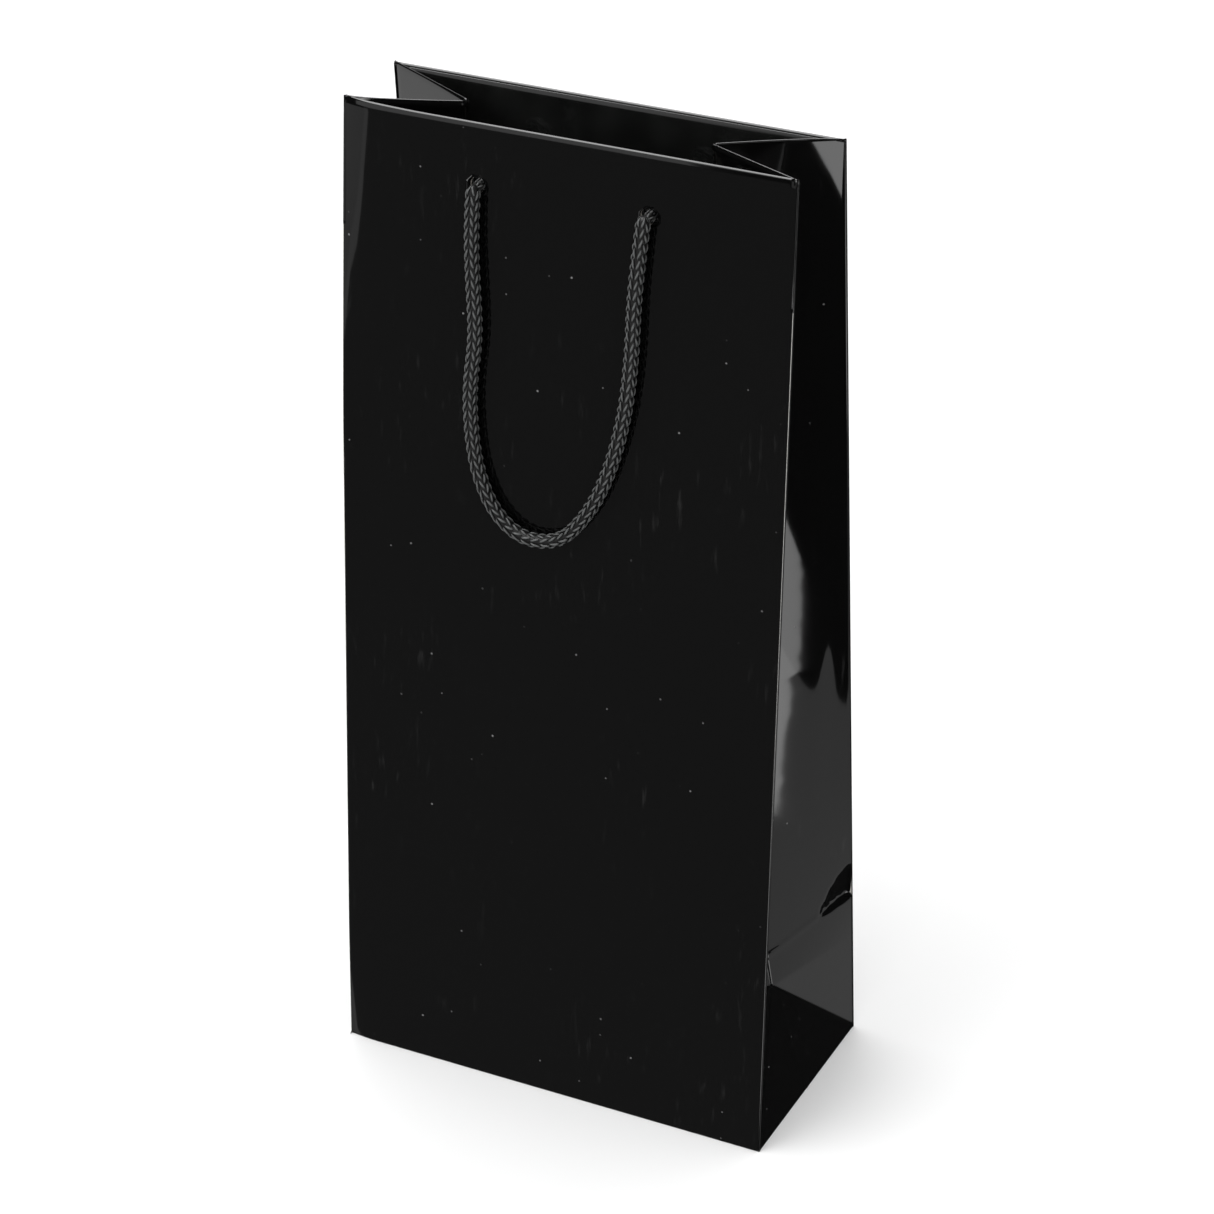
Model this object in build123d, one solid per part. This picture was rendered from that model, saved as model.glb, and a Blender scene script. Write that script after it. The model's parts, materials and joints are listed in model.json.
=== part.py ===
from build123d import *
import os
from math import acos, asin, cos, degrees, pi, sin, sqrt, tan

# A two-bottle carrier bag folded from one sheet of laminated paper, as it stands
# when it is opened on a table: flat base, panels leaning in, side gussets half closed.
# X runs across the front, the front faces -Y, and Z is up from the table.

# The sheet and its folds, millimetres
WIDTH = 180.0             # front panel, crease to crease
DEPTH = 92.0              # side, crease to crease
PANEL = 392.0             # front panel, bottom crease to top fold
MOUTH = 41.0              # front to back between the top folds, as the bag stands
PAPER = 0.4               # laminated paper
HEM = 48.0                # the top edge is turned in this far
FLAP = 66.0               # length of each bottom flap
SEAM = 12.0               # width of the glued seam
CREASE_GAP = 0.3          # a fold takes this much from each of its two faces
LAYER_GAP = 0.05          # between unglued layers

# Boards
CARD = 0.8                # stiffening card under the front and back hems
CARD_DROP = 42.0
CARD_INSET = 6.0          # card and hem stop this far from the side creases
BOARD = 1.5               # loose board on the bottom
BOARD_PLAY = 1.75         # from the board's edge to the sides

# Cord handles
CORD_R = 2.75
HOLE_R = 3.0
HOLE_X = 33.5
HOLE_DROP = 23.0          # below the top fold
STUB_R = 2.7
KNOT_R = 6.5
TAIL = 20.0
SWING_GAP = 0.3           # between the hanging cord's round end and the panel
BALL_R = 1.01 * CORD_R    # round end of the cord at its hole

# Worked out from the above
HALF = DEPTH / 2
SIDE = WIDTH / 2
LEAN = asin((DEPTH - MOUTH) / 2 / PANEL)
FOOT_TILT = acos((1 - sin(LEAN)) / cos(LEAN))
HOLE_S = PANEL - HOLE_DROP
SWING = CORD_R + SWING_GAP
LINING = 2 * PAPER + CARD

# Panel frames: x across, y up the panel, z out of the bag
FRONT = Plane(origin=(0, -HALF, 0), x_dir=(1, 0, 0), z_dir=(0, -cos(LEAN), sin(LEAN)))
TURN_ROUND = Rot(0, 0, 180)
# Frame of the crease between the front panel and the right gusset:
# x to the right, y into the bag, z up the crease
CREASE = Plane(origin=(SIDE, -HALF, 0), x_dir=(1, 0, 0), z_dir=(0, sin(LEAN), cos(LEAN)))


def slab(low, high):
    """A box between two opposite corners."""
    size = [b - a for a, b in zip(low, high)]
    middle = [(a + b) / 2 for a, b in zip(low, high)]
    return Pos(*middle) * Box(*size)


def fold_angle(s):
    """How far a gusset half is folded in at s up the crease, so that its inner
    edge lies half way between front and back."""
    return acos((HALF - max(s, HALF) * sin(LEAN)) / (HALF * cos(LEAN)))


def gusset_layer(s, outer, inner):
    """Section of one gusset half at s, between two depths below its outer face."""
    angle = fold_angle(s)
    along = Vector(-sin(angle), cos(angle))
    inward = Vector(-cos(angle), -sin(angle))
    start = (PAPER + CREASE_GAP / 2 + inner * sin(angle)) / cos(angle)
    end = HALF - CREASE_GAP / 2
    corners = [along * t + inward * depth for t, depth in
               ((start, outer), (end, outer), (end, inner), (start, inner))]
    return Pos(0, 0, s) * make_face(Polyline(*corners, close=True))


def gusset_strip(stations, outer, inner):
    """A twisted strip of one gusset half, in the crease's frame."""
    return loft([gusset_layer(s, outer, inner) for s in stations], ruled=True)


def gusset_half():
    """The right gusset's front half: a slanted foot, then the twisting strip."""
    diagonal_gap = CREASE_GAP * sqrt(2)
    top = HALF + 2 * diagonal_gap
    stations = [top, FLAP, 110, 160, 220, 280, PANEL - HEM, PANEL]
    start = (PAPER + CREASE_GAP / 2 + PAPER * sin(FOOT_TILT)) / cos(FOOT_TILT)
    end = HALF - CREASE_GAP / 2
    outline = Polyline((start, start + diagonal_gap), (end, end + diagonal_gap),
                       (end, top), (start, top), close=True)
    # x along the folded half, y up the crease, z out of the gusset
    face = Plane(origin=(0, 0, 0), x_dir=(-sin(FOOT_TILT), cos(FOOT_TILT), 0),
                 z_dir=(cos(FOOT_TILT), sin(FOOT_TILT), 0))
    foot = face * extrude(make_face(outline), -PAPER)
    return foot + gusset_strip(stations, 0, PAPER)


def gusset_hem():
    outer = PAPER + LAYER_GAP
    return gusset_strip([PANEL - HEM, PANEL], outer, outer + PAPER)


def foot_triangle():
    """The right side's triangle, standing on the bottom edge and tilted in."""
    face = Plane(origin=(SIDE, 0, 0), x_dir=(0, 1, 0), z_dir=(cos(FOOT_TILT), 0, sin(FOOT_TILT)))
    diagonal_gap = CREASE_GAP * sqrt(2)
    foot = HALF - CREASE_GAP - diagonal_gap
    outline = Polyline((-foot, CREASE_GAP), (foot, CREASE_GAP), (0, HALF - diagonal_gap), close=True)
    return face * extrude(make_face(outline), -PAPER)


def handle_holes():
    """The two punched holes, as cutters in a panel's frame."""
    return [Pos(x, HOLE_S, 0) * Cylinder(HOLE_R, 20) for x in (-HOLE_X, HOLE_X)]


def panel():
    return slab((-SIDE, CREASE_GAP, -PAPER), (SIDE, PANEL, 0)) - handle_holes()


def card():
    edge = SIDE - CARD_INSET
    top = PANEL - PAPER
    return slab((-edge, top - CARD_DROP, -PAPER - CARD), (edge, top, -PAPER)) - handle_holes()


def hem():
    edge = SIDE - CARD_INSET
    return slab((-edge, PANEL - HEM, -LINING), (edge, PANEL, -PAPER - CARD)) - handle_holes()


def glue_seam():
    """The sheet's end, glued inside the back panel beside one crease."""
    edge = SIDE - 4
    return slab((edge - SEAM, 3, -2 * PAPER), (edge, PANEL - HEM - 1, -PAPER))


def knots():
    """The cord's two ends: a stub through each hole, a knot behind it and a tail."""
    depth = LINING + KNOT_R + 0.1
    both = []
    for x in (-HOLE_X, HOLE_X):
        stub = Pos(x, HOLE_S, -depth / 2) * Cylinder(STUB_R, depth)
        knot = Pos(x, HOLE_S, -depth) * Sphere(KNOT_R)
        tail = Pos(x, HOLE_S - TAIL / 2, -depth) * Rot(90, 0, 0) * Cylinder(STUB_R, TAIL)
        both.append(stub + knot + tail)
    return Compound(both)


# The cord's route, hole to hole: across, up from the holes, out from the panel
ROUTE = [
    (-33.5, 0, SWING), (-34.3, -15, 4.2), (-33.4, -35, 5.0), (-32.0, -56, 4.6),
    (-34.7, -76, 3.8), (-34.0, -94, 3.4), (-31.5, -109, 3.2), (-25, -123.5, 3.2),
    (-13, -132.5, 3.2), (2.5, -130.5, 3.2), (13, -118, 3.2), (20, -104, 3.3),
    (25, -88, 3.6), (28.6, -70, 4.2), (30.3, -50, 4.7), (30.6, -31, 4.9),
    (32.0, -14, 4.2), (33.5, 0, SWING),
]


def route_radii(points):
    """One radius for each corner of the route, as large as its two runs allow."""
    radii = []
    for a, b, c in zip(points, points[1:], points[2:]):
        run = min((b - a).length, (c - b).length)
        turn = (b - a).get_angle(c - b)
        radii.append(0.45 * run / tan(turn / 2 * pi / 180))
    return radii


def handle():
    points = [Vector(x, HOLE_S + up, out) for x, up, out in ROUTE]
    radii = route_radii(points)
    path = FilletPolyline(*points, radius=radii)
    section = Plane(origin=path @ 0, z_dir=path % 0) * Circle(CORD_R)
    tube = sweep(section, path=path)
    expected = pi * CORD_R**2 * path.length
    print("cord length", round(path.length, 1), "volume ratio", round(tube.volume / expected, 4))
    print("cord radii", [round(r) for r in radii])
    ends = [Pos(*points[k]) * Sphere(BALL_R) for k in (0, -1)]
    return tube + ends


def bottom_layer(low_y, high_y, z, thick, reach=SIDE - 1.3):
    return slab((-reach, low_y, z), (reach, high_y, z + thick))


def side_flap():
    """The right bottom flap, mitred at 45 degrees where it folds under."""
    edge = SIDE - 1.3
    wide = HALF - 0.8
    length = HALF - 4
    outline = Polyline((edge, -wide), (edge, wide), (edge - length, wide - length),
                       (edge - length, length - wide), close=True)
    return Pos(0, 0, 2 * PAPER) * extrude(make_face(outline), PAPER)


def build():
    nodes = {}
    for name, place in (("front", Location()), ("back", TURN_ROUND)):
        nodes[name + "_panel"] = place * (FRONT * panel())
        nodes[name + "_hem"] = place * (FRONT * hem())
        nodes[name + "_card"] = place * (FRONT * card())
        nodes[name + "_knots"] = place * (FRONT * knots())
        nodes[name + "_handle"] = place * (FRONT * handle())
    nodes["glue_seam"] = TURN_ROUND * (FRONT * glue_seam())

    half = CREASE * gusset_half()
    turned_in = CREASE * gusset_hem()
    foot = foot_triangle()
    for side, place in (("right", Location()), ("left", TURN_ROUND)):
        nodes[side + "_foot"] = place * foot
    for suffix, shape in (("", half), ("_hem", turned_in)):
        mirrored = mirror(shape, about=Plane.YZ)
        nodes["right_front_gusset" + suffix] = shape
        nodes["left_front_gusset" + suffix] = mirrored
        nodes["left_back_gusset" + suffix] = TURN_ROUND * shape
        nodes["right_back_gusset" + suffix] = TURN_ROUND * mirrored

    inner = HALF - 0.8
    nodes["back_bottom_flap"] = bottom_layer(inner - FLAP, inner, 0, PAPER)
    nodes["front_bottom_flap"] = bottom_layer(-inner, FLAP - inner, PAPER, PAPER)
    nodes["right_bottom_flap"] = side_flap()
    nodes["left_bottom_flap"] = TURN_ROUND * side_flap()
    board_y = HALF - BOARD_PLAY
    nodes["base_board"] = bottom_layer(-board_y, board_y, 3 * PAPER, BOARD, SIDE - BOARD_PLAY - 0.25)
    return nodes


os.makedirs("parts", exist_ok=True)
for node, shape in build().items():
    export_step(shape, f"parts/{node}.step")
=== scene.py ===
import json
import math

import bmesh
import bpy
from mathutils import Matrix, Vector


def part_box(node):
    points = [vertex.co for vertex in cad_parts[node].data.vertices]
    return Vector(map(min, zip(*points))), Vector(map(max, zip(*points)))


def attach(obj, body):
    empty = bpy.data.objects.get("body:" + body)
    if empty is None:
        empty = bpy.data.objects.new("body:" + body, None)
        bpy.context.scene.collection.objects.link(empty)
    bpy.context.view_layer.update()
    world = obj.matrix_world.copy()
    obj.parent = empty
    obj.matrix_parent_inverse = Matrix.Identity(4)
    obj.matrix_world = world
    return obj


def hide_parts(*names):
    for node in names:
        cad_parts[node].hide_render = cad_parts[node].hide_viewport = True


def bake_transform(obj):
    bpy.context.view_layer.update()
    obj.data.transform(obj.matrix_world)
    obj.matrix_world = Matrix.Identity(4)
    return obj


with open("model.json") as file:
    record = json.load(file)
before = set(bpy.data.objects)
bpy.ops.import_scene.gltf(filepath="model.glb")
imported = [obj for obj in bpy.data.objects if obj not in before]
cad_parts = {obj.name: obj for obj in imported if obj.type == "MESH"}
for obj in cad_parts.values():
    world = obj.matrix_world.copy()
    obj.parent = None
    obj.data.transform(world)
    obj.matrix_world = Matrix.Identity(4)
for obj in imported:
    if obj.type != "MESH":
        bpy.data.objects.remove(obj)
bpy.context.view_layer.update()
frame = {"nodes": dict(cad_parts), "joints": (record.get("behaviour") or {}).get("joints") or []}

# ---------------------------------------------------------------- the view
# A long lens from the front right and a little above, as for a catalogue picture.
joints = {j["name"]: j for j in frame["joints"]}
view = bpy.data.objects.new("view", bpy.data.cameras.new("view"))
bpy.context.scene.collection.objects.link(view)
bpy.context.scene.camera = view
view.data.lens = 113.3
view.data.sensor_width = 36.0
view.data.shift_y = -0.0494
view.data.clip_end = 20.0
view_place = (0.5699, -1.1204, 0.8955)
view_turn, view_lift, view_roll = (math.radians(a) for a in (26.76, 28.27, -0.72))
view.matrix_world = (Matrix.Translation(view_place) @ Matrix.Rotation(view_turn, 4, "Z")
                     @ Matrix.Rotation(math.pi / 2 - view_lift, 4, "X") @ Matrix.Rotation(view_roll, 4, "Z"))


class Value:
    """A shader socket that can be written in sums: an expression adds its Math nodes."""

    def __init__(self, tree, socket):
        self.tree, self.socket = tree, socket

    def node(self, kind, settings=None, output=None, **inputs):
        """Adds a node: its settings first, then its sockets, and gives its first output or the named one."""
        made = self.tree.nodes.new("ShaderNode" + kind)
        for key, value in (settings or {}).items():
            if key == "stops":
                ramp = made.color_ramp
                while len(ramp.elements) < len(value):
                    ramp.elements.new(0.5)
                for stop, (place, colour) in zip(ramp.elements, value):
                    stop.position, stop.color = place, (*colour, 1)
            else:
                setattr(made, key, value)
        for key, value in inputs.items():
            numbered = key[0] == "i" and key[1:].isdigit()
            socket = made.inputs[int(key[1:]) if numbered else key.replace("_", " ")]
            if isinstance(value, Value):
                self.tree.links.new(value.socket, socket)
            else:
                socket.default_value = value
        shown = [s for s in made.outputs if s.enabled and output in (None, s.name)]
        return Value(self.tree, shown[0])

    def math(self, how, other=0.0, clamp=False):
        return self.node("Math", {"operation": how, "use_clamp": clamp}, i0=self, i1=other)

    def __add__(self, other):
        return self.math("ADD", other)

    def __radd__(self, other):
        return self.math("ADD", other)

    def __mul__(self, other):
        return self.math("MULTIPLY", other)

    def __rmul__(self, other):
        return self.math("MULTIPLY", other)

    def __sub__(self, other):
        return self.math("SUBTRACT", other)

    def __rsub__(self, other):
        return (self * -1.0).math("ADD", other)

    def above(self, low, high):
        """0 below low, 1 above high, and smooth between them."""
        smooth = {"interpolation_type": "SMOOTHSTEP"}
        return self.node("MapRange", smooth, Value=self, From_Min=low, From_Max=high)

    def mix(self, first, second):
        """Colour first where this is 0, and second where it is 1."""
        made = self.tree.nodes.new("ShaderNodeMix")
        made.data_type = "RGBA"
        self.tree.links.new(self.socket, made.inputs["Factor"])
        for socket, colour in ((made.inputs[6], first), (made.inputs[7], second)):
            if isinstance(colour, Value):
                self.tree.links.new(colour.socket, socket)
            else:
                socket.default_value = (*colour, 1)
        return Value(self.tree, made.outputs[2])


def new_material(name, **constants):
    """A material, its shader node with constants set, and a Value that reads the piece's own coordinates."""
    made = bpy.data.materials.new(name)
    made.use_nodes = True
    tree = made.node_tree
    shader = tree.nodes["Principled BSDF"]
    for key, value in constants.items():
        shader.inputs[key.replace("_", " ")].default_value = value
    place = tree.nodes.new("ShaderNodeTexCoord")
    return made, shader, Value(tree, place.outputs["Object"])


def feed(shader, name, value):
    value.tree.links.new(value.socket, shader.inputs[name])


def bump(shader, height, depth):
    feed(shader, "Normal", height.node("Bump", None, Strength=1.0, Distance=depth, Height=height))


def add_piece(name, bm, body, materials, replaced=()):
    """A finished mesh as a piece that rides on a body."""
    mesh = bpy.data.meshes.new(name)
    bm.to_mesh(mesh)
    bm.free()
    mesh.shade_smooth()
    piece = bpy.data.objects.new(name, mesh)
    bpy.context.scene.collection.objects.link(piece)
    for material in materials:
        mesh.materials.append(material)
    if body:
        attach(piece, body)
    if replaced:
        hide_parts(*replaced)
    return piece


# ------------------------------------------------- how the sheet is folded
# The bag is one sheet of laminated paper. These say where a point of the flat sheet
# comes to lie when the bag stands: the panels lean in and the gussets fold in with them.
half_depth = -joints["front_lean"]["pos_m"][1]
half_width = joints["right_foot_fold"]["pos_m"][0]
lean = math.radians(joints["front_lean"]["range_deg"][1])
panel_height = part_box("front_panel")[1].z / math.cos(lean)
paper = 0.00038
# Panel frame: x across, y up the panel, z out of the bag
up = Vector((0, math.sin(lean), math.cos(lean)))
out = Vector((0, -math.cos(lean), math.sin(lean)))
front_place = Matrix(((1, 0, 0, 0), (0, up.y, out.y, -half_depth), (0, up.z, out.z, 0), (0, 0, 0, 1)))
turn_round = Matrix.Rotation(math.pi, 4, "Z")

# ------------------------------------------------------------- the cords
# Two knitted polyester cords, 5.5 mm thick, each threaded through two punched holes and
# knotted inside. Each hangs in a loop outside its panel, and swings up as a handle.
cord_radius = 0.00275
hole_height = (front_place.inverted() @ Vector(joints["front_handle_swing"]["pos_m"])).y
swing = (front_place.inverted() @ Vector(joints["front_handle_swing"]["pos_m"])).z
# Routes in millimetres: across, up from the hole, and out from the panel
pivot_out = 3.05
cord_route = [
    (-33.5, 1.2, 3.05), (-34.3, -15, 3.4), (-33.4, -35, 3.6), (-32.0, -56, 3.5),
    (-34.7, -76, 3.3), (-34.0, -94, 3.2), (-31.5, -109, 3.1), (-25, -123.5, 3.1),
    (-13, -132.5, 3.1), (2.5, -130.5, 3.1), (13, -118, 3.1), (20, -104, 3.1),
    (25, -88, 3.2), (28.6, -70, 3.4), (30.3, -50, 3.6), (30.6, -31, 3.6),
    (32.0, -14, 3.4), (33.5, 1.2, 3.05),
]
stitch = 0.0039
wales = 4
core_share, leg_share = 0.72, 0.82


def spline_points(points, fineness=12):
    """Points along the smooth line that a limp cord takes round its route."""
    curve = bpy.data.curves.new("route", "CURVE")
    curve.dimensions = "3D"
    line = curve.splines.new("NURBS")
    line.points.add(len(points) - 1)
    for spot, place in zip(line.points, points):
        spot.co = (*place, 1)
    line.order_u = 3
    line.use_endpoint_u = True
    line.resolution_u = fineness
    holder = bpy.data.objects.new("route", curve)
    mesh = bpy.data.meshes.new_from_object(holder)
    found = [v.co.copy() for v in mesh.vertices]
    bpy.data.objects.remove(holder)
    bpy.data.curves.remove(curve)
    bpy.data.meshes.remove(mesh)
    return found


def even_steps(points, step):
    """The line again with its points an even step apart, with a side direction at each."""
    lengths = [0.0]
    for a, b in zip(points, points[1:]):
        lengths.append(lengths[-1] + (b - a).length)
    count = round(lengths[-1] / step)
    places, k = [], 0
    for n in range(count + 1):
        wanted = lengths[-1] * n / count
        while k < len(points) - 2 and lengths[k + 1] < wanted:
            k += 1
        share = (wanted - lengths[k]) / max(lengths[k + 1] - lengths[k], 1e-9)
        places.append(points[k].lerp(points[k + 1], share))
    tangents = [(places[min(n + 1, count)] - places[max(n - 1, 0)]).normalized() for n in range(count + 1)]
    side = tangents[0].orthogonal().normalized()
    sides = []
    for tangent in tangents:
        side = (side - tangent * side.dot(tangent)).normalized()
        sides.append(side)
    return places, tangents, sides, lengths[-1]


def yarn_legs(count):
    """A row of round yarn legs, ten apart, still to be bent round the cord."""
    bm = bmesh.new()
    bmesh.ops.create_uvsphere(bm, u_segments=10, v_segments=7, radius=1.0)
    mesh = bpy.data.meshes.new("leg")
    bm.to_mesh(mesh)
    bm.free()
    holder = bpy.data.objects.new("leg", mesh)
    bpy.context.scene.collection.objects.link(holder)
    row = holder.modifiers.new("row", "ARRAY")
    row.count = count
    row.use_relative_offset = False
    row.use_constant_offset = True
    row.constant_offset_displace = (10, 0, 0)
    bpy.context.view_layer.update()
    made = bpy.data.meshes.new_from_object(holder.evaluated_get(bpy.context.evaluated_depsgraph_get()))
    bpy.data.objects.remove(holder)
    bpy.data.meshes.remove(mesh)
    return made


def knitted_tube(bm, points, radius, first_side=None):
    """Adds a cord with round ends: a core, painted dark as shade in the grooves between the legs, and round
    it columns of V stitches, each of two fat yarn legs."""
    step = stitch / 6
    places, tangents, sides, length = even_steps(points, step)
    if first_side:
        turn = sides[0].cross(tangents[0]).dot(first_side), sides[0].dot(first_side)
        angle = math.atan2(-turn[0], turn[1])
    else:
        angle = 0.0
    rows = len(places)

    def skin(along, theta, distance):
        """A point of the cord: how far along it, which way round, and how far from its middle."""
        n = min(max(along / length * (rows - 1), 0.0), rows - 1.0)
        k = min(int(n), rows - 2)
        share = n - k
        place = places[k].lerp(places[k + 1], share)
        side, tangent = sides[k].lerp(sides[k + 1], share), tangents[k].lerp(tangents[k + 1], share)
        past = along - min(max(along, 0.0), length)
        way = side * math.cos(theta) + tangent.cross(side) * math.sin(theta)
        return place + way * distance + tangent * past

    def girth(along):
        from_end = min(along, length - along)
        return math.sqrt(max(0.0, 1 - max(0.0, 1 - from_end / radius) ** 2))

    grid = bmesh.ops.create_grid(bm, x_segments=16, y_segments=rows - 1, size=0.5)["verts"]
    for vert in grid:
        along = (vert.co.y + 0.5) * length
        vert.co = skin(along, (vert.co.x + 0.5) * 2 * math.pi, radius * core_share * girth(along))
    bmesh.ops.remove_doubles(bm, verts=grid, dist=1e-6)
    stitches = round(length / stitch)
    leg_length, leg_width, leg_depth = stitch * 0.50, radius * 0.205, radius * 0.20
    legs = [(column, n, hand) for column in range(wales) for n in range(stitches) for hand in (-1, 1)
            if n + 0.5 + 0.5 * (column % 2) <= stitches]
    loose = yarn_legs(len(legs))
    row = bmesh.new()
    row.from_mesh(loose)
    # How high each point sits on its leg: the yarn colour turns this into painted light on the crowns and
    # painted shade low down
    raised = row.verts.layers.float.new("raised")
    for vert in row.verts:
        vert[raised] = vert.co.y * 0.5 + 0.5
        k = round(vert.co.x / 10)
        column, n, hand = legs[k]
        middle = (n + 0.5 + 0.5 * (column % 2)) * length / stitches
        centre = angle + 2 * math.pi * column / wales + hand * 0.56 * math.pi / wales
        size = 0.25 + 0.75 * girth(min(middle, length))
        x, y, z = vert.co.z * leg_length, (vert.co.x - 10 * k) * leg_width * size, vert.co.y * leg_depth
        slant = hand * vert.co.z * 0.30 * math.pi / wales
        along = min(max(middle + x, 0.0), length)
        hump = 1 - 0.10 * vert.co.z ** 2
        vert.co = skin(along, centre + slant + y / radius, (radius * leg_share * hump + z) * girth(along))
    row.to_mesh(loose)
    row.free()
    bm.from_mesh(loose)
    bpy.data.meshes.remove(loose)


def on_panel(place, route, across=0.0):
    """A route's points in place on a panel."""
    return [place @ Vector((across + x / 1000, hole_height + y / 1000, swing + (z - pivot_out) / 1000))
            for x, y, z in route]


yarn, yarn_shader, at = new_material("black_polyester_yarn", IOR=1.5, Specular_IOR_Level=0.5)
# Painted light and shade on the yarn: bright on the crowns of the legs, near black low on them and on the
# core as painted shade in the grooves; fluff varies the tone at random
raised = at.node("Attribute", {"attribute_name": "raised"}, "Fac")
twist = at.node("TexNoise", None, Vector=at, Scale=2600.0, Detail=2.0)
fluff = at.node("TexNoise", None, Vector=at, Scale=700.0, Detail=3.0)
painted_crown_light_and_groove_shade = raised.above(0.45, 0.98) * (0.75 + fluff * 0.5)
feed(yarn_shader, "Base Color", painted_crown_light_and_groove_shade.mix((0.006, 0.006, 0.006), (0.084, 0.087, 0.087)))
feed(yarn_shader, "Roughness", 0.36 + fluff * 0.18)
bump(yarn_shader, twist, 0.00012)

for name, place in (("front", front_place), ("back", turn_round @ front_place)):
    route = on_panel(place, cord_route)
    line = spline_points(route)
    bm = bmesh.new()
    knitted_tube(bm, line, cord_radius, place.to_3x3() @ Vector((0, 0, 1)))
    bmesh.ops.recalc_face_normals(bm, faces=bm.faces)
    cord = add_piece(name + "_handle_cord", bm, name + "_handle", [yarn], [name + "_handle"])

# ------------------------------------------------------- the knots inside
# Behind each hole the cord is tied in an overhand knot with a short tail, which
# keeps it from pulling through the panel, the card and the turned-in edge.
knot_route = [
    (0, -0.8, 2.4), (0, -0.6, -1.0), (0, 0.4, -3.5), (0.5, -0.5, -8), (5, 0.5, -11.5),
    (4.5, 5, -9.5), (-2, 6, -6.6), (-6, 1, -5.6), (-4, -5, -6.2), (2, -6, -8.5),
    (3, -2.5, -12), (-1, -4, -13.6), (-2.5, -12, -12.6), (-1, -20, -10.5),
]
hole_across = 0.0335
pulled_tight = 0.74
for name, place in (("front", front_place), ("back", turn_round @ front_place)):
    bm = bmesh.new()
    for across in (-hole_across, hole_across):
        route = on_panel(place, knot_route, across)
        knitted_tube(bm, spline_points(route), cord_radius * pulled_tight)
    bmesh.ops.recalc_face_normals(bm, faces=bm.faces)
    add_piece(name + "_tied_knots", bm, name + "_panel", [yarn], [name + "_knots"])

# -------------------------------------------------------- the paper itself
# Art paper printed black and laminated with gloss film outside, white and uncoated inside.
# The film carries a little dust, faint rubs and the slow waves of hand-folded paper.
black, black_shader, at = new_material("black_gloss_film", IOR=1.5)
cell = {"feature": "F1"}
speck_scale = 230.0
speck_near = at.node("TexVoronoi", cell, "Distance", Vector=at, Scale=speck_scale)
speck_colour = at.node("TexVoronoi", cell, "Color", Vector=at, Scale=speck_scale)
speck_pick = at.node("SeparateColor", None, "Red", Color=speck_colour)
speck = (1.0 - speck_near.above(0.05, 0.13)) * speck_pick.above(0.90, 0.99)
rub_place = at.node("Mapping", None, Vector=at, Rotation=(0.0, 0.5, 0.0), Scale=(1.0, 1.0, 0.18))
rub = at.node("TexNoise", None, Vector=rub_place, Scale=420.0, Detail=4.0).above(0.60, 0.80)
cloud = at.node("TexNoise", None, Vector=at, Scale=22.0, Detail=3.0).above(0.45, 0.75)
film_marks = (speck + rub * cloud * 0.10).math("MINIMUM", 1.0)
feed(black_shader, "Base Color", film_marks.mix((0.0013, 0.0013, 0.0013), (0.14, 0.14, 0.14)))
feed(black_shader, "Roughness", 0.05 + cloud * 0.025 + film_marks * 0.3)
waves = at.node("TexNoise", None, Vector=at, Scale=34.0, Detail=2.0)
bump(black_shader, waves + film_marks * 0.04, 0.00006)

inner, inner_shader, at = new_material("handled_film_inside", IOR=1.5)
haze = at.node("TexNoise", None, Vector=at, Scale=60.0, Detail=3.0).above(0.3, 0.8)
feed(inner_shader, "Base Color", haze.mix((0.0050, 0.0052, 0.0050), (0.0105, 0.0110, 0.0105)))
feed(inner_shader, "Roughness", 0.09 + haze * 0.06)

white, white_shader, at = new_material("uncoated_white_side", IOR=1.45)
fibre = at.node("TexNoise", None, Vector=at, Scale=1400.0, Detail=4.0)
shade = at.node("TexNoise", None, Vector=at, Scale=30.0, Detail=2.0)
feed(white_shader, "Base Color", (fibre * 0.6 + shade * 0.4).mix((0.62, 0.60, 0.56), (0.80, 0.78, 0.74)))
feed(white_shader, "Roughness", 0.78 + fibre * 0.15)
bump(white_shader, fibre, 0.00006)

hem = 0.048
crease_radius = 0.0006
top_radius = 0.0008
bottom_radius = 0.0005
punch_radius, punch_depth = 0.003, 0.012


def flat_sheet(x0, x1, y0, y1, step, edges=()):
    """A flat piece of the sheet. Each edge in edges, as (axis, way, amount), gets narrow extra
    rows, so that it can be folded over."""
    bm = bmesh.new()
    columns, rows = max(1, round((x1 - x0) / step)), max(1, round((y1 - y0) / step))
    bmesh.ops.create_grid(bm, x_segments=columns, y_segments=rows, size=0.5)
    for vert in bm.verts:
        vert.co = (x0 + (vert.co.x + 0.5) * (x1 - x0), y0 + (vert.co.y + 0.5) * (y1 - y0), 0)
    folds = 8
    for axis, way, amount in edges:
        for _ in range(folds):
            limit = max(v.co[axis] * way for v in bm.verts)
            rim = [e for e in bm.edges if all(v.co[axis] * way > limit - 1e-7 for v in e.verts)]
            made = bmesh.ops.extrude_edge_only(bm, edges=rim)["geom"]
            for vert in made:
                if isinstance(vert, bmesh.types.BMVert):
                    vert.co[axis] += way * amount / folds
    return bm


def turned(past, radius):
    """How far along and how far in a fold carries a point that lies past its start."""
    angle = max(0.0, past) / radius
    return (radius * math.sin(angle), radius * (1 - math.cos(angle))) if past > 0 else (past, 0.0)


def settle(point):
    """How the standing bag's paper gives: its front left edge curls back a little, most at its
    top corner and less at its foot."""
    point = point.copy()
    left = max(0.0, (-0.056 - point.x) / 0.034)
    high = max(0.0, (point.z - 0.26) / 0.13)
    if point.y < 0:
        point.y += 0.0022 * left ** 1.5 * high ** 1.5
        rim = max(0.0, (-0.0785 - point.x) / 0.0115)
        near_top, near_foot = max(0.0, (point.z - 0.27) / 0.12), max(0.0, 1 - point.z / 0.05)
        point.y += 0.0014 * rim ** 1.6 * max(near_top, 0.7 * near_foot)
    return point


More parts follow.
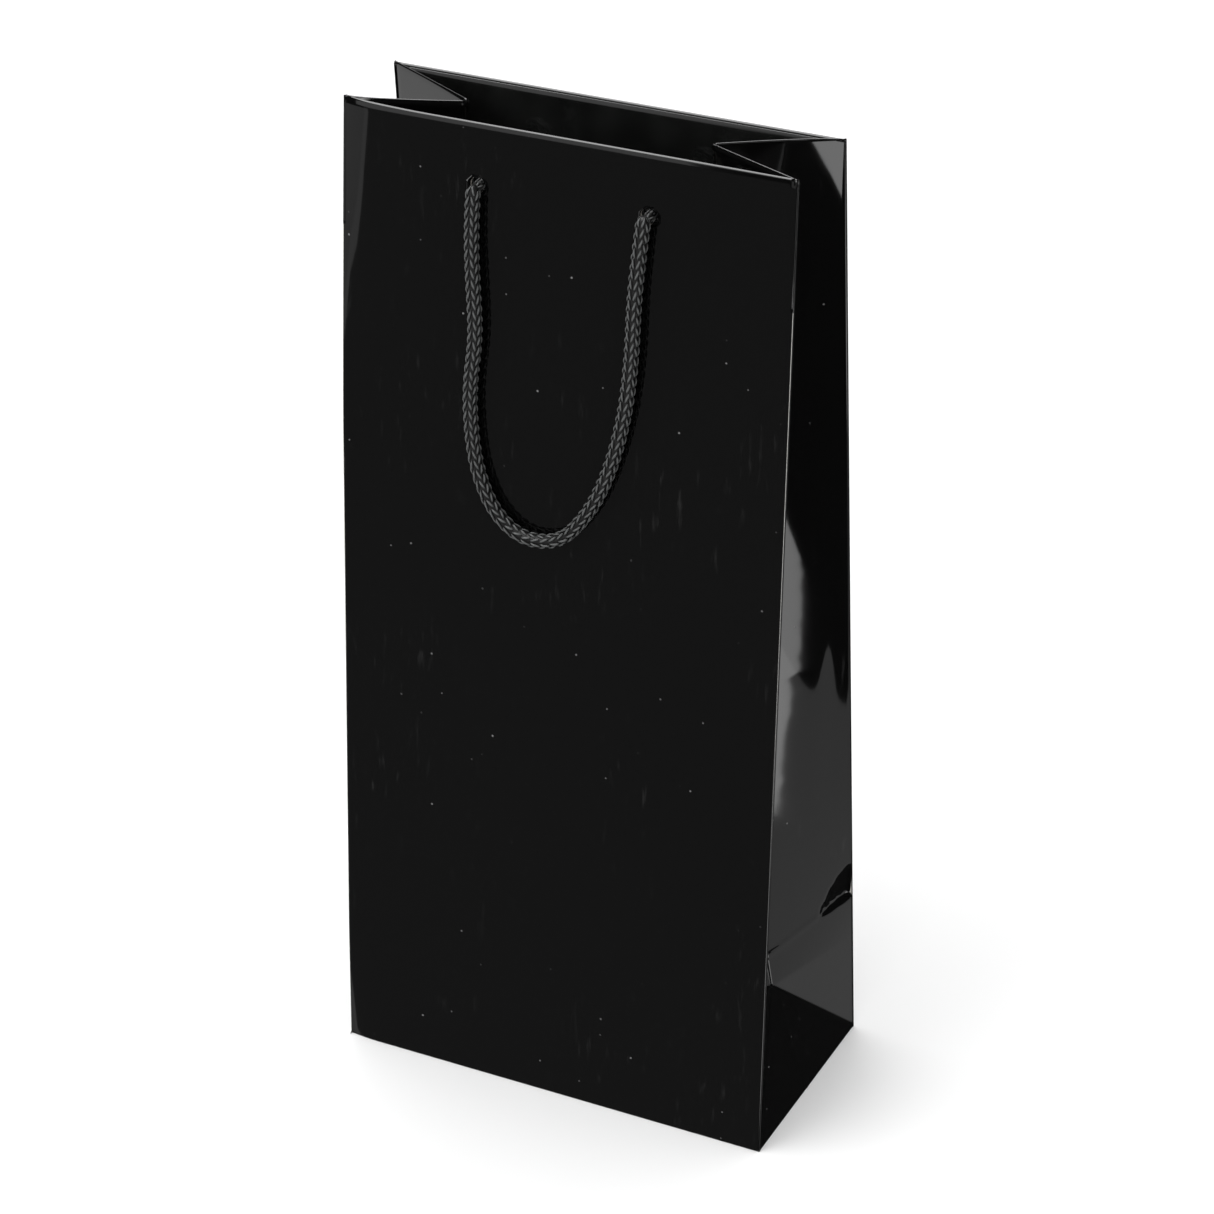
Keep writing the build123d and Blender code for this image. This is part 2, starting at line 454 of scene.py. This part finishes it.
def facing(bm, way):
    """Turns the sheet's printed side to the way given."""
    bm.normal_update()
    total = sum((f.normal * f.calc_area() for f in bm.faces), Vector())
    if total.dot(way) < 0:
        bmesh.ops.reverse_faces(bm, faces=bm.faces)


def thick_paper(piece, holes=(), thickness=paper):
    """Gives a folded sheet its thickness and punches its holes."""
    wall = piece.modifiers.new("thickness", "SOLIDIFY")
    wall.thickness = thickness
    wall.offset = -1
    wall.material_offset = 1
    cutters = []
    for place, across in holes:
        bm = bmesh.new()
        bmesh.ops.create_cone(bm, cap_ends=True, segments=40, radius1=punch_radius, radius2=punch_radius,
                              depth=punch_depth, matrix=place @ Matrix.Translation((across, hole_height, 0)))
        mesh = bpy.data.meshes.new("punch")
        bm.to_mesh(mesh)
        bm.free()
        cutter = bpy.data.objects.new("punch", mesh)
        bpy.context.scene.collection.objects.link(cutter)
        cut = piece.modifiers.new("hole", "BOOLEAN")
        cut.operation = "DIFFERENCE"
        cut.solver = "EXACT"
        cut.object = cutter
        cutters.append(cutter)
    bpy.context.view_layer.update()
    made = bpy.data.meshes.new_from_object(piece.evaluated_get(bpy.context.evaluated_depsgraph_get()))
    piece.modifiers.clear()
    piece.data = made
    for cutter in cutters:
        bpy.data.objects.remove(cutter)


def mark_hem_lining(bm):
    """The inside next to the turned-in edge is black as well, where the edge doesn't reach a crease."""
    for face in bm.faces:
        if face.calc_center_median().y > panel_height - hem:
            face.material_index = 2


def panel_point(x, y):
    """Where a point of the flat panel lies, rolled round its side creases, top fold and bottom."""
    past = abs(x) - (half_width - crease_radius)
    along, inward = turned(past, crease_radius)
    x = math.copysign(half_width - crease_radius + along, x)
    rise, over = turned(y - (panel_height - top_radius), top_radius)
    if y < bottom_radius:
        drop, under = turned(bottom_radius - y, bottom_radius)
        return Vector((x, bottom_radius - drop, -inward - under))
    return Vector((x, panel_height - top_radius + rise, -inward - over))


# ------------------------------------------------------- front and back panels
# The two large faces of the sheet, creased to the gussets at each side and folded over at the
# top round a stiffening card. Each is punched twice for its cord.
quarter = math.pi / 2
card_inset, card_drop, card = 0.006, 0.042, 0.00076
hem_inset = 0.0045
grey, grey_shader, at = new_material("grey_board", IOR=1.45)
pulp = at.node("TexNoise", None, Vector=at, Scale=900.0, Detail=5.0)
flecks = at.node("TexNoise", None, Vector=at, Scale=260.0, Detail=2.0).above(0.62, 0.72)
feed(grey_shader, "Base Color", (pulp * 0.7 + flecks * 0.3).mix((0.30, 0.28, 0.25), (0.50, 0.47, 0.43)))
feed(grey_shader, "Roughness", 0.82 + pulp * 0.1)
bump(grey_shader, pulp, 0.00008)
for name, place in (("front", front_place), ("back", turn_round @ front_place)):
    edge = half_width - crease_radius
    bm = flat_sheet(-edge, edge, bottom_radius, panel_height - top_radius, 0.003, [
        (0, -1, quarter * crease_radius), (0, 1, quarter * crease_radius),
        (1, 1, 2 * quarter * top_radius), (1, -1, quarter * bottom_radius)])
    mark_hem_lining(bm)
    # The corners would be rolled both ways at once, so they are cut off.
    doubled_corners = [face for face in bm.faces if abs(face.calc_center_median().x) > edge
                       and face.calc_center_median().y > panel_height - top_radius]
    bmesh.ops.delete(bm, geom=doubled_corners, context="FACES")
    for vert in bm.verts:
        vert.co = settle(place @ panel_point(vert.co.x, vert.co.y))
    facing(bm, place.to_3x3() @ Vector((0, 0, 1)))
    panel = add_piece(name + "_panel_face", bm, None, [black, white, black, black])
    thick_paper(panel, [(place, -hole_across), (place, hole_across)])
    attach(panel, name + "_panel")
    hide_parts(name + "_panel")

    edge = half_width - hem_inset
    bm = flat_sheet(-edge, edge, panel_height - hem, panel_height - top_radius, 0.003)
    for vert in bm.verts:
        vert.co = settle(place @ Vector((vert.co.x, vert.co.y, -2 * top_radius)))
    facing(bm, place.to_3x3() @ Vector((0, 0, -1)))
    turned_in = add_piece(name + "_turned_in_edge", bm, None, [inner, white])
    thick_paper(turned_in, [(place, -hole_across), (place, hole_across)])
    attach(turned_in, name + "_panel")
    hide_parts(name + "_hem")

    edge = half_width - card_inset
    bm = flat_sheet(-edge, edge, panel_height - card_drop, panel_height - top_radius, 0.004)
    for vert in bm.verts:
        vert.co = settle(place @ Vector((vert.co.x, vert.co.y, -paper - 0.00002)))
    facing(bm, place.to_3x3() @ Vector((0, 0, 1)))
    stiffener = add_piece(name + "_stiffening_card", bm, None, [grey, grey])
    thick_paper(stiffener, [(place, -hole_across), (place, hole_across)], card)
    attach(stiffener, name + "_panel")
    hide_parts(name + "_card")

# ---------------------------------------------------------------- the gussets
# Each side of the sheet is creased down its middle and folds inwards, front half and back half.
# The paper twists from nearly open at the foot to well folded at the mouth.
gusset_top_radius = 0.00045
gusset_crease_radius = 0.0008
crease_place = Matrix(((1, 0, 0, half_width), (0, math.cos(lean), up.y, -half_depth),
                       (0, -math.sin(lean), up.z, 0), (0, 0, 0, 1)))
flip_x = Matrix.Scale(-1, 4, (1, 0, 0))


def fold_angle(y):
    """How far a gusset half is folded in at y up its crease."""
    y = min(max(y, half_depth), panel_height)
    return math.acos((half_depth - y * math.sin(lean)) / (half_depth * math.cos(lean)))


def gusset_point(t, y, inward, belly):
    """Where a point of the flat gusset half lies: t from the panel's crease, y up it."""
    angle = fold_angle(y)
    radius = gusset_crease_radius

    def curved(t):
        a = min(t / radius, angle)
        rest = max(0.0, t - radius * angle)
        return Vector((-radius * (1 - math.cos(a)) - rest * math.sin(angle),
                       radius * math.sin(a) + rest * math.cos(angle), 0))

    ideal = Vector((-math.sin(angle), math.cos(angle), 0)) * half_depth
    place = curved(t) - (curved(half_depth) - ideal) * (t / half_depth) ** 2
    outward = Vector((math.cos(angle), math.sin(angle), 0))
    place += outward * (belly(t, y) - inward)
    return place


def plain_belly(t, y):
    """A shallow hollow along the half, deepest half way up."""
    across = math.sin(math.pi * min(1.0, max(0.0, t / half_depth)))
    return -0.0016 * across * math.sin(math.pi * min(1.0, max(0.0, (y - 0.05) / 0.36)))


def knocked_line(t):
    """A knock across the right gusset's back half, as a height up it."""
    return 0.0666 - 0.165 * t


def handled_belly(t, y):
    """The right back half as it has been handled: curled at its top corner, softly creased
    along its length, and buckled where a knock crosses it."""
    out_by = plain_belly(t, y)
    curl = 0.0146 * max(0.0, (y - 0.338) / 0.054) ** 1.5
    past = max(0.0, curl - t)
    fade = 1 - max(0.0, (t - curl) / (half_depth - curl)) ** 2
    out_by += 5.0 * (past ** 2 - curl ** 2) * fade
    ridge = 0.011 - 0.045 * (y - 0.144)
    strength = max(0.0, 1 - abs(y - 0.175) / 0.085)
    out_by += 0.00025 * strength * (math.tanh((t - ridge) / 0.003) + 1) * fade
    line = knocked_line(t)
    if t < 0.019:
        rim = 0.0154 * (1 - (t / 0.019) ** 2)
        reach = min(1.0, t / 0.0016)
        if 0 < y - line < rim:
            out_by -= 0.125 * (rim - (y - line)) * reach
            out_by += 0.00010 * math.sin(t * 1500) * math.sin(math.pi * (y - line) / rim) * reach
        elif -0.0014 < y - line <= 0:
            out_by -= 0.125 * rim * reach * (1 + (y - line) / 0.0014)
    out_by += 0.00016 * math.exp(-((y - line) / 0.0012) ** 2) * min(1.0, t / 0.004)
    return out_by


def gusset_mesh(place, way, belly, low, high, depth, edges, step):
    """One half, or its turned-in edge, as a folded sheet."""
    bm = flat_sheet(0.0003, half_depth, low, high, step, edges)
    if low < half_depth:
        geometry = [*bm.verts, *bm.edges, *bm.faces]
        bmesh.ops.bisect_plane(bm, geom=geometry, plane_co=(0, 0, 0), plane_no=(1, -1, 0), clear_outer=True)
    mark_hem_lining(bm)
    for vert in bm.verts:
        t, y = vert.co.x, vert.co.y
        rise, over = turned(y - (panel_height - gusset_top_radius), gusset_top_radius)
        local = gusset_point(t, y, over + depth, belly)
        local.z = panel_height - gusset_top_radius + rise
        vert.co = settle(place @ local)
    facing(bm, way)
    return bm


for side in ("right", "left"):
    for end, turn in (("front", Matrix.Identity(4)), ("back", turn_round)):
        body = f"{side}_{end}_gusset"
        mirrored = (side == "left") == (end == "front")
        place = turn @ (flip_x if mirrored else Matrix.Identity(4)) @ crease_place
        outward = Vector((1 if side == "right" else -1, 0, 0))
        handled = (side, end) == ("right", "back")
        for name, low, high, depth, edges, way, node in (
                ("_face", 0.0, panel_height - gusset_top_radius, 0.0,
                 [(1, 1, 2 * quarter * gusset_top_radius)], outward, ""),
                ("_turned_in_edge", panel_height - hem, panel_height - gusset_top_radius,
                 2 * gusset_top_radius, [], -outward, "_hem")):
            bm = gusset_mesh(place, way, handled_belly if handled else plain_belly, low, high, depth, edges,
                             0.001 if handled else 0.002)
            piece = add_piece(body + name, bm, None, [black, white, black, black])
            thick_paper(piece)
            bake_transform(piece)
            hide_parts(body + node)

# ----------------------------------------------------------- the feet of the gussets
# Below its two diagonal creases each gusset ends in a triangle that stands on the base
# and tilts in with the fold.
foot_tilt = fold_angle(0)
for side, way in (("right", 1), ("left", -1)):
    bm = flat_sheet(-half_depth, half_depth, bottom_radius, half_depth + 0.002, 0.0007,
                    [(1, -1, quarter * bottom_radius)])
    for across in (-1, 1):
        geometry = [*bm.verts, *bm.edges, *bm.faces]
        bmesh.ops.bisect_plane(bm, geom=geometry, plane_co=(0, half_depth, 0), plane_no=(across, 1, 0),
                               clear_outer=True)
    for vert in bm.verts:
        along, rise = vert.co.x, vert.co.y
        drop, under = turned(bottom_radius - rise, bottom_radius)
        rise = bottom_radius - drop
        fade = min(1.0, max(0.0, (0.032 - rise) / 0.008))
        under -= 0.00016 * math.exp(-(along / 0.0007) ** 2) * fade  # the faint centre crease
        vert.co = Vector((way * (half_width - rise * math.sin(foot_tilt) - under), along,
                          max(rise * math.cos(foot_tilt), 0.0001)))
    facing(bm, Vector((way, 0, 0)))
    foot = add_piece(side + "_foot_face", bm, None, [black, white])
    thick_paper(foot)
    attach(foot, side + "_foot")
    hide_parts(side + "_foot")

# ------------------------------------------------------------ bottom and boards
# Four flaps are glued over each other under the bag. A loose grey board lies on them inside,
# and a strip of card stiffens each panel under its turned-in edge.
for name, material in (("base_board", grey), ("glue_seam", white),
                       ("front_bottom_flap", black), ("back_bottom_flap", black),
                       ("right_bottom_flap", black), ("left_bottom_flap", black)):
    frame["nodes"][name].data.materials.clear()
    frame["nodes"][name].data.materials.append(material)

# ------------------------------------------------------------- floor and light
# A pale table and soft light. The film mirrors the dark room, an overhead strip and the light
# cards round the bag; the paper, the cords and the table are lit by the key softbox and the sky.
bm = bmesh.new()
bmesh.ops.create_grid(bm, x_segments=1, y_segments=1, size=6.0)
floor_mesh = bpy.data.meshes.new("table")
bm.to_mesh(floor_mesh)
bm.free()
floor = bpy.data.objects.new("table", floor_mesh)
bpy.context.scene.collection.objects.link(floor)
table, table_shader, at = new_material("pale_table", Roughness=0.7)
table_shader.inputs["Base Color"].default_value = (0.86, 0.86, 0.86, 1)
floor_mesh.materials.append(table)
floor.visible_glossy = False


def reflector(name, aim, turns, lifts, distance, brightness, roll=0.0):
    """A light card that only the film mirrors. It stands round the point aim between two
    compass turns and two lifts, in degrees."""
    low, high = (distance * math.tan(math.radians(a)) for a in lifts)
    turn = math.radians(sum(turns) / 2)
    wide = 2 * distance * math.tan(math.radians(turns[1] - turns[0]) / 2)
    lamp = bpy.data.lights.new(name, "AREA")
    lamp.shape = "RECTANGLE"
    lamp.size, lamp.size_y = wide, high - low
    lamp.energy = brightness * math.pi * wide * (high - low)
    holder = bpy.data.objects.new(name, lamp)
    bpy.context.scene.collection.objects.link(holder)
    across = Vector((math.cos(turn), math.sin(turn), 0))
    stand = Vector(aim) + across * distance + Vector((0, 0, (low + high) / 2))
    holder.matrix_world = (Matrix.Translation(stand)
                           @ across.to_track_quat("-Z", "Y").to_matrix().to_4x4()
                           @ Matrix.Rotation(math.pi, 4, "Y") @ Matrix.Rotation(math.radians(roll), 4, "Z"))
    holder.visible_diffuse = False
    holder.visible_camera = False


def soft_box(name, place, aim, width, height, brightness, mirrored, painted_crown_light_and_groove_shade):
    """A softbox that faces the point aim."""
    lamp = bpy.data.lights.new(name, "AREA")
    lamp.shape = "RECTANGLE"
    lamp.size, lamp.size_y = width, height
    lamp.energy = brightness * math.pi * width * height
    holder = bpy.data.objects.new(name, lamp)
    bpy.context.scene.collection.objects.link(holder)
    way = Vector(aim) - Vector(place)
    holder.matrix_world = Matrix.Translation(place) @ way.to_track_quat("-Z", "Y").to_matrix().to_4x4()
    holder.visible_glossy = mirrored
    holder.visible_diffuse = painted_crown_light_and_groove_shade
    holder.visible_camera = False


reflector("right_card_high", (0.08, 0.02, 0.37), (-96, -64.5), (-40, -18), 1.2, 3.6)
reflector("right_card_tall", (0.06, 0.0, 0.17), (-31, 0.5), (-28.8, -12), 2.6, 3.2, 2)
reflector("right_card_wide", (0.07, 0.0, 0.12), (-18, 33), (-41, -19), 3.2, 0.57)
reflector("front_left_card", (-0.09, -0.04, 0.30), (-160, -131), (-42, -8), 1.6, 0.45)
reflector("left_card", (0.0, 0.0, 0.38), (-186, -156), (-40, -16), 1.2, 1.0)
reflector("front_card_dim", (0.0, 0.0, 0.20), (-135, -96), (-42, -5), 2.4, 0.10)
# A ring of cards for the sides and the back
for name, turns, brightness in (("side_card_a", (-142, -112), 0.9), ("side_card_b", (112, 142), 0.9),
                                ("side_card_c", (40, 62), 0.7), ("side_card_d", (-62, -40), 0.7),
                                ("face_card_front", (-101, -92), 0.45), ("face_card_back", (78, 88), 0.45)):
    reflector(name, (0.0, 0.0, 0.2), turns, (-4, 50), 2.2, brightness)
soft_box("overhead_strip", (-0.7, 0.4, 1.8), (-0.7, 0.4, 0), 1.1, 2.8, 7.0, True, False)
soft_box("key_softbox", (-0.9, -1.1, 1.9), (0, 0, 0.1), 1.6, 1.6, 2.6, False, True)

room = bpy.data.worlds.new("room")
bpy.context.scene.world = room
room.use_nodes = True
sky = room.node_tree.nodes["Background"]
rays = Value(room.node_tree, room.node_tree.nodes.new("ShaderNodeLightPath").outputs["Is Glossy Ray"])
feed(sky, "Color", rays.mix((1.25, 1.25, 1.25), (0.03, 0.03, 0.03)))
sky.inputs["Strength"].default_value = 1.0
bpy.context.scene.view_settings.view_transform = "Standard"
